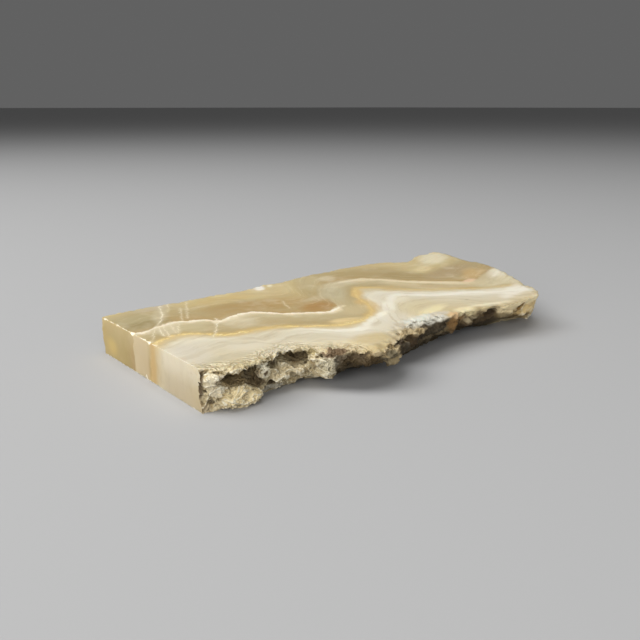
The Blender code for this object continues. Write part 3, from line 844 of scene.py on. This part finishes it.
# Where each spot of the stone is, in plan millimetres; and the same with soft random bends, which
# is where the layers are drawn.
to_plan = add("ShaderNodeMapping", Vector=add("ShaderNodeTexCoord").outputs["Object"])
to_plan.inputs["Location"].default_value = (-END_X / MM, -CORNER_Y / MM, 0.0)
to_plan.inputs["Scale"].default_value = (1 / MM, 1 / MM, 1 / MM)
spot_at = to_plan.outputs[0]
bend = add("ShaderNodeTexNoise", Vector=spot_at, Scale=0.28, Detail=3.0).outputs["Color"]
bent = calc3("MULTIPLY_ADD", calc3("SUBTRACT", bend, (0.5, 0.5, 0.5)), (1.5, 1.5, 0.0), spot_at)
x, y, z = add("ShaderNodeSeparateXYZ", Vector=bent).outputs
length_share = calc("DIVIDE", x, LENGTH_SPAN)
fray = calc("ADD", signed(clouds(spot_at, 1.3), 0.25), signed(clouds(spot_at, 0.5), 0.8))
frayed_y = calc("ADD", y, fray)
lean = calc("MULTIPLY", calc("SUBTRACT", THICKNESS, z), BAND_LEAN)
own_x, own_y, own_z = add("ShaderNodeSeparateXYZ", Vector=spot_at).outputs
on_end = ease(own_x, 0.3, 0.05)

# The layers from front to back, each over the one before, with the lines between them.
white_line = along(WHITE_LINE, LINE_FRONT, LINE_BACK)
gold_line = calc("ADD", along(GOLD_LINE, LINE_FRONT, LINE_BACK), lean)
white_layer = calc("ADD", along(WHITE_LAYER, LINE_FRONT, LINE_BACK), lean)
streak = along(WHITE_STREAK, LINE_FRONT, LINE_BACK)
behind_white_line = calc("SUBTRACT", frayed_y, white_line)
behind_gold_line = calc("SUBTRACT", frayed_y, gold_line)
behind_white_layer = calc("SUBTRACT", frayed_y, white_layer)


def share_between(back_line, front_line):
    """0 on the line at the back and 1 on the line in front of it."""
    width = calc("MAXIMUM", calc("SUBTRACT", back_line, front_line), 1.0)
    return calc("DIVIDE", calc("SUBTRACT", back_line, frayed_y), width)


mid_share = share_between(white_line, gold_line)
gold_share = share_between(gold_line, white_layer)
colour = layer(calc("MULTIPLY", behind_white_layer, -1.0), FRONT_LAYER, LAYER_SPAN)
colour = blend(ease(behind_white_layer, -0.5, 0.6), colour, layer(gold_share, GOLD_TO_WHITE))
colour = blend(ease(behind_gold_line, -0.3, 0.3), colour, layer(mid_share, MID_LAYER))
# The white line is crisp in the near half and broad and soft in the far one.
far_half = ease(x, 55.0, 68.0)
line_edge = calc("DIVIDE", behind_white_line, calc("MULTIPLY_ADD", far_half, 5.0, 1.0))
back_layer = layer(behind_white_line, BACK_LAYER, LAYER_SPAN)
colour = blend(ease(line_edge, -0.12, 0.12), colour, back_layer)


def spotted(base, spots):
    """The base colour with soft spots of other colours on it."""
    for middle, half_sizes, turn, tint, strength in spots.values():
        oval = add("ShaderNodeMapping", {"vector_type": "TEXTURE"}, Vector=bent)
        oval.inputs["Location"].default_value = (*middle, 0.0)
        oval.inputs["Rotation"].default_value = (0.0, 0.0, math.radians(turn))
        oval.inputs["Scale"].default_value = (*(SPOT_REACH * size for size in half_sizes), 1000.0)
        fall = add("ShaderNodeTexGradient", {"gradient_type": "SPHERICAL"}, Vector=oval.outputs[0])
        base = blend(ease(fall.outputs["Fac"], 0.0, 0.64, strength), base, tint)
    return base


colour = spotted(colour, SPOTS)

# Fine streaks that follow the layers, and soft clouds.
PALE_STREAK, DARK_STREAK = (240, 228, 196), (160, 132, 84)
PALE_CLOUD, HAZE = (236, 224, 196), (190, 175, 140)
flow = add("ShaderNodeCombineXYZ")
put(flow.inputs[X], calc("MULTIPLY", x, 0.13))
put(flow.inputs[Y], behind_white_line)
put(flow.inputs[Z], calc("MULTIPLY", z, 0.35))
streaks = clouds(flow.outputs[0], 0.9, 4.0, 0.62)
end_fades = calc("MULTIPLY_ADD", on_end, -0.6, 1.0)
colour = blend(times(ease(streaks, 0.5, 0.8, 0.30), end_fades), colour, PALE_STREAK)
colour = blend(times(ease(streaks, 0.5, 0.2, 0.26), end_fades), colour, DARK_STREAK)
colour = blend(ease(clouds(spot_at, 0.22, 3.0), 0.5, 0.75, 0.22), colour, PALE_CLOUD)
colour = blend(ease(clouds(flow.outputs[0], 0.45, 3.0, 0.6), 0.52, 0.3, 0.34), colour, HAZE)

# The gold line and its glow, with small painted glints.
GLOW, GOLD, GLINT = (213, 183, 120), (235, 210, 142), (255, 244, 205)
off_gold_line = calc("ABSOLUTE", behind_gold_line)
glow = times(ease(off_gold_line, 2.4, 0.2), along(GOLD_GLOW_SHOWS))
colour = blend(calc("MULTIPLY", glow, 0.8), colour, GLOW)
gold = times(ease(off_gold_line, 0.9, 0.15), along(GOLD_LINE_SHOWS))
gold_breaks = ease(clouds(spot_at, 0.9, 3.0, 0.7), 0.36, 0.56)
colour = blend(times(gold, gold_breaks), colour, GOLD)
painted_glints = ease(clouds(spot_at, 2.2, 2.0), 0.60, 0.72, 0.8)
colour = blend(times(gold, painted_glints), colour, GLINT)

# The white line: sharp behind, fading towards the front, with a whiter core; and the streak in
# the white layer.
LINE_NEAR, LINE_FAR = (240, 224, 190), (222, 205, 165)
CORE_NEAR, CORE_FAR = (250, 240, 216), (232, 217, 182)
STREAK_WHITE = (243, 237, 219)
fade_reach = calc("MULTIPLY_ADD", far_half, 1.9, 2.9)
fade = ease(calc("DIVIDE", behind_white_line, fade_reach), -1.0, -0.2)
line_shape = times(ease(line_edge, 0.16, -0.06), fade, end_fades, along(WHITE_LINE_SHOWS))
line_breaks = ease(clouds(spot_at, 0.8, 4.0, 0.7), 0.22, 0.5)
line_shows = times(line_shape, line_breaks)
colour = blend(line_shows, colour, blend(far_half, LINE_NEAR, LINE_FAR))
core_middle = calc("MULTIPLY_ADD", far_half, 1.5, 0.45)
core_half = calc("ADD", far_half, 0.75)
off_core = calc("DIVIDE", calc("ABSOLUTE", calc("ADD", behind_white_line, core_middle)), core_half)
core_shows = times(ease(off_core, 1.0, 0.13), line_shows)
colour = blend(core_shows, colour, blend(far_half, CORE_NEAR, CORE_FAR))
off_streak = calc("ABSOLUTE", calc("SUBTRACT", frayed_y, streak))
colour = blend(times(ease(off_streak, 1.9, 0.2), along(STREAK_SHOWS)), colour, STREAK_WHITE)

# Growth lines under the front rind, as thin shells that follow its edge.
SHELL_STEP = 0.95
SHELL_BED, SHELL_CREST, SHELL_GROOVE = (212, 196, 156), (243, 234, 207), (132, 110, 74)
from_rim = calc("SUBTRACT", y, along(FRONT_RIM, LINE_FRONT, LINE_BACK))
broad_bend = signed(clouds(spot_at, 0.33, 1.0), 2.2)
shell_bend = calc("ADD", broad_bend, signed(clouds(spot_at, 1.6), 0.35))
shell_turns = calc("MULTIPLY", calc("ADD", from_rim, shell_bend), 2 * math.pi / SHELL_STEP)
shell = calc("SINE", shell_turns)
off_end = calc("SUBTRACT", 1.0, on_end)
shell_zone = times(ease(from_rim, 4.6, 2.0), ease(x, 33.0, 25.0), off_end)
shell_shows = times(ease(clouds(spot_at, 0.5, 4.0, 0.65), 0.40, 0.62), shell_zone)
colour = blend(calc("MULTIPLY", shell_zone, 0.4), colour, SHELL_BED)
colour = blend(times(ease(shell, -0.1, 0.8, 0.8), shell_shows), colour, SHELL_CREST)
colour = blend(times(ease(shell, -0.45, -0.95, 0.85), shell_shows), colour, SHELL_GROOVE)

# Healed cracks, thin and pale with a faint halo.
CRACK, CRACK_HALO = (240, 230, 204), (226, 213, 179)
cloud = add("ShaderNodeTexNoise", Vector=spot_at, Scale=0.9, Detail=2.0).outputs["Color"]
wobble = calc3("SUBTRACT", cloud, (0.5, 0.5, 0.5))
crack_at = calc3("MULTIPLY_ADD", wobble, (1.3, 1.3, 0.0), spot_at)
crack_plan = calc3("MULTIPLY", crack_at, (1.0, 1.0, 0.0))
off_crack = None
for faintness, points in CRACKS.values():
    for start, end in zip(points, points[1:]):
        run = Vector((*end, 0.0)) - Vector((*start, 0.0))
        from_start = calc3("SUBTRACT", crack_plan, (*start, 0.0))
        past_start = calc3("DOT_PRODUCT", from_start, tuple(run / run.length_squared))
        run_share = calc("MINIMUM", calc("MAXIMUM", past_start, 0.0), 1.0)
        off_run = calc3("SUBTRACT", from_start, calc3("SCALE", tuple(run), run_share))
        off = calc("ADD", calc3("LENGTH", off_run), faintness)
        off_crack = off if off_crack is None else calc("MINIMUM", off_crack, off)
colour = blend(ease(off_crack, 0.7, 0.1, 0.34), colour, CRACK_HALO)
crack_breaks = ease(clouds(spot_at, 0.7, 3.0), 0.32, 0.54, 0.9)
colour = blend(times(ease(off_crack, 0.22, 0.02), crack_breaks), colour, CRACK)


def mark(name):
    """What the skin's mesh says of each place under a name."""
    return add("ShaderNodeAttribute", {"attribute_name": name})


# The brim: crusted over the front rind with spots of its own, and only rubbed pale elsewhere.
CRUST_CREAM, CRUST_OCHRE, CRUST_TAN = (228, 211, 170), (200, 181, 136), (168, 138, 88)
CRUST_BROWN_AND_SHADE, BACK_BRIM = (132, 106, 64), (216, 202, 164)
blotches = clouds(spot_at, 0.45, 4.0, 0.6)
crust = blend(ease(blotches, 0.35, 0.7), CRUST_CREAM, CRUST_OCHRE)
crust = blend(ease(clouds(spot_at, 0.9, 3.0), 0.48, 0.7, 0.6), crust, CRUST_TAN)
# The crust browns towards the right, partly its own colour and partly painted shade.
brown_and_shade_zone = times(ease(x, 23.5, 28.0), ease(x, 84.0, 76.0))
crust = blend(calc("MULTIPLY", brown_and_shade_zone, 0.55), crust, CRUST_BROWN_AND_SHADE)
front_side = ease(y, RIND_FRONT, RIND_FRONT - 3.0)
back_side = calc("SUBTRACT", 1.0, front_side)
brim = mark("brim").outputs["Fac"]
front_brim = ease(calc("ADD", brim, signed(blotches, 0.5)), 0.35, 0.85, 0.6)
on_brim = times(front_side, ease(brim, 0.0, 0.4))
colour = blend(times(front_brim, front_side), colour, crust)
colour = blend(on_brim, colour, spotted(colour, BRIM_SPOTS))
colour = blend(times(ease(brim, 0.3, 1.0, 0.5), back_side), colour, BACK_BRIM)

# The rind: stained, with dirt and painted shade in its hollows, painted shade in its sheltered
# places and under its overhangs, and pale ridges with a painted highlight.
CALM_SKIN, DIRT_AND_SHADE = (190, 168, 122), (72, 56, 32)
UNDERCUT_SHADE, RIDGE_AND_HIGHLIGHT = (54, 42, 24), (250, 240, 212)
rind = mark("rind").outputs["Fac"]
hollow_mm = mark("hollow").outputs["Fac"]
sheltered = mark("shelter").outputs["Fac"]
stains_and_shade = mark("stain_and_shade")
stain_and_shade_cover = stains_and_shade.outputs["Alpha"]
calm_skin = blend(0.35, colour, CALM_SKIN)
skin = blend(calc("MULTIPLY", front_side, 0.9), calm_skin, crust)
skin = blend(stain_and_shade_cover, skin, stains_and_shade.outputs["Color"])
# Dirt and painted shade in the creases, and painted shade where the skin is sheltered.
crease_dirt_and_shade = ease(hollow_mm, 0.03, 0.28, 0.5)
shelter_shade = calc("MULTIPLY_ADD", stain_and_shade_cover, -0.4, 0.58)
dirt_and_shade = calc("MULTIPLY_ADD", ease(sheltered, 0.25, 0.75), shelter_shade, crease_dirt_and_shade)
skin = blend(calc("MINIMUM", dirt_and_shade, 0.9), skin, DIRT_AND_SHADE)
# Painted shade under the overhangs: the brown part of the crust darkens towards the underside.
undercut_shade = times(brown_and_shade_zone, ease(z, 5.5, 2.0, 0.85), front_side)
skin = blend(undercut_shade, skin, UNDERCUT_SHADE)
stain_and_shade_red = add("ShaderNodeSeparateColor", Color=stains_and_shade.outputs["Color"]).outputs[0]
clean = calc("MAXIMUM", calc("SUBTRACT", 1.0, stain_and_shade_cover), ease(stain_and_shade_red, 0.2, 0.6))
# Pale ridges with a painted highlight: lighter where the skin stands out in the open and is clean.
ridge_and_highlight = times(ease(hollow_mm, -0.02, -0.18), ease(sheltered, 0.4, 0.12), clean)
ridge_and_highlight_shows = calc("MULTIPLY_ADD", brown_and_shade_zone, -0.85, 0.9)
skin = blend(times(ridge_and_highlight, ridge_and_highlight_shows), skin, RIDGE_AND_HIGHLIGHT)

# The sawn end is darker towards the underside and has a painted amber glow where light would come
# through the stone; near the front it has painted shade low down and painted light near the top.
END_TOP, END_FOOT = (250, 246, 238), (232, 224, 208)
END_AMBER, END_PAINTED_GLOW, END_BEIGE = (184, 158, 92), (206, 178, 104), (208, 187, 150)
END_GOLD, END_SHADE, END_LIGHT = (196, 160, 98), (184, 166, 134), (236, 231, 217)
end_depth = blend(ease(own_z, THICKNESS, 0.5), END_TOP, END_FOOT)
colour = blend(on_end, colour, blend(1.0, colour, end_depth, "MULTIPLY"))
colour = blend(times(on_end, ease(own_y, -15.0, -10.0, 0.5)), colour, END_AMBER)
off_painted_glow = calc3("MULTIPLY", calc3("SUBTRACT", spot_at, (0.0, -3.6, 2.6)), (0.2, 0.3, 0.4))
colour = blend(times(on_end, ease(calc3("LENGTH", off_painted_glow), 1.1, 0.2, 0.7)), colour, END_PAINTED_GLOW)
beige_band = times(ease(own_y, -13.5, -15.5), ease(own_y, -21.0, -19.5, 0.6))
colour = blend(times(beige_band, on_end), colour, END_BEIGE)
# Painted shade low and painted light high on the front part of the sawn end.
end_front = times(on_end, ease(own_y, -23.5, -27.0))
colour = blend(times(end_front, ease(own_z, 6.5, 1.0, 0.5)), colour, END_SHADE)
colour = blend(times(end_front, ease(own_z, 3.0, 7.5, 0.3)), colour, END_LIGHT)
off_end_gold = calc("ABSOLUTE", calc("ADD", own_y, 22.1))
colour = blend(times(on_end, ease(off_end_gold, 1.7, 0.3, 0.6)), colour, END_GOLD)

# The rind over the stone, and dots of bruised stone along the sawn end's edges over both.
BRUISE = (244, 234, 210)
colour = blend(rind, colour, skin)
bruise_shows = calc("MAXIMUM", ease(own_y, -25.0, -21.5, 0.9), ease(own_z, 4.0, 2.0, 0.7))
bruise_dots = times(bruise_shows, ease(clouds(spot_at, 0.8), 0.40, 0.52))
colour = blend(times(mark("bruise").outputs["Fac"], bruise_dots), colour, BRUISE)

# The finish: satin saw cuts, a dull grainy rind, and light that sinks a little way into the stone.
IOR_OF_OPAL = 1.45
CUT_GRAIN, RIND_GRAIN = 0.004 * MM, 0.17 * MM
SHELL_DEPTH = 0.28 * MM
CUT_ROUGHNESS, RIND_ROUGHNESS = 0.36, 0.30  # the rind's comes on top of the cut's
CUT_GLOW, RIND_GLOW = 0.32, -0.27
rough = calc("MAXIMUM", rind, calc("MULTIPLY", on_brim, 0.6))
grain = add("ShaderNodeBump", Height=clouds(spot_at, 4.0, 4.0, 0.65), Strength=0.6)
put(grain.inputs["Distance"], calc("MULTIPLY_ADD", rough, RIND_GRAIN, CUT_GRAIN))
shells = add("ShaderNodeBump", Height=shell, Strength=0.6, Normal=grain.outputs[0])
put(shells.inputs["Distance"], calc("MULTIPLY", shell_zone, SHELL_DEPTH))
surface = add("ShaderNodeBsdfPrincipled", Base_Color=colour, Normal=shells.outputs[0])
put(surface.inputs["Roughness"], calc("MULTIPLY_ADD", rind, RIND_ROUGHNESS, CUT_ROUGHNESS))
surface.inputs["IOR"].default_value = IOR_OF_OPAL
put(surface.inputs["Subsurface Weight"], calc("MULTIPLY_ADD", rind, RIND_GLOW, CUT_GLOW))
surface.inputs["Subsurface Radius"].default_value = (1.0, 0.75, 0.5)
surface.inputs["Subsurface Scale"].default_value = 2.5 * MM
add("ShaderNodeOutputMaterial", Surface=surface.outputs[0])
piece_mesh.materials.append(opal)
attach(slice_piece, "root")
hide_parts("opal_slice")

# --- The table it lies on ------------------------------------------------------------------------
# A plain table top, painted pale grey and quite matt. The slice lies flat on its sawn underside,
# held by nothing but its own weight.
TABLE_SIZE = 40.0
TABLE_GREY = (0.42, 0.42, 0.42, 1.0)
TABLE_ROUGHNESS = 0.85

bpy.ops.mesh.primitive_plane_add(size=TABLE_SIZE)
floor = bpy.context.object
floor.name = "table_top"
table_paint = bpy.data.materials.new("table_top")
table_paint.use_nodes = True
table_shader = table_paint.node_tree.nodes["Principled BSDF"]
table_shader.inputs["Base Color"].default_value = TABLE_GREY
table_shader.inputs["Roughness"].default_value = TABLE_ROUGHNESS
floor.data.materials.append(table_paint)

# --- The camera and the lights -------------------------------------------------------------------
# A camera with an ordinary lens looks a little down at the slice from its front left. The light is
# soft: a window behind the slice on its left, the ceiling, weaker light from the left and from the
# front, and a dim white room all round.
CAMERA_PLAN = Vector((-54.7, -136.55, 50.26))
CAMERA_DOWN = 17.0  # degrees below level
CAMERA_TURN = -39.78  # degrees, towards the right of straight back
LENS = 39.375
SENSOR = 36.0
NEAREST_SEEN = 0.01
ROOM_WHITE = (1.0, 1.0, 1.0, 1.0)
ROOM_LIGHT = 0.12

camera = bpy.data.objects.new("camera", bpy.data.cameras.new("camera"))
bpy.context.scene.collection.objects.link(camera)
bpy.context.scene.camera = camera
camera.location = Vector((END_X, CORNER_Y, 0.0)) + CAMERA_PLAN * MM
camera.rotation_euler = (math.radians(90.0 - CAMERA_DOWN), 0.0, math.radians(CAMERA_TURN))
camera.data.lens = LENS
camera.data.sensor_width = SENSOR
camera.data.clip_start = NEAREST_SEEN


def soft_light(name, at, size, watts):
    """Hangs a square lamp that faces the slice."""
    lamp = bpy.data.lights.new(name, "AREA")
    lamp.size = size
    lamp.energy = watts
    holder = bpy.data.objects.new(name, lamp)
    bpy.context.scene.collection.objects.link(holder)
    holder.location = at
    holder.rotation_euler = (-Vector(at)).to_track_quat("-Z", "Y").to_euler()


soft_light("window", at=(-0.45, 0.4, 0.7), size=0.5, watts=4.6)
soft_light("ceiling", at=(-0.1, 0.0, 0.9), size=0.6, watts=4.0)
soft_light("left", at=(-0.85, -0.28, 0.3), size=0.5, watts=3.6)
soft_light("front", at=(-0.35, -0.8, 0.5), size=0.5, watts=2.2)
world = bpy.data.worlds.new("room")
bpy.context.scene.world = world
world.use_nodes = True
room = world.node_tree.nodes["Background"]
room.inputs["Color"].default_value = ROOM_WHITE
room.inputs["Strength"].default_value = ROOM_LIGHT
bpy.context.scene.view_settings.view_transform = "Standard"
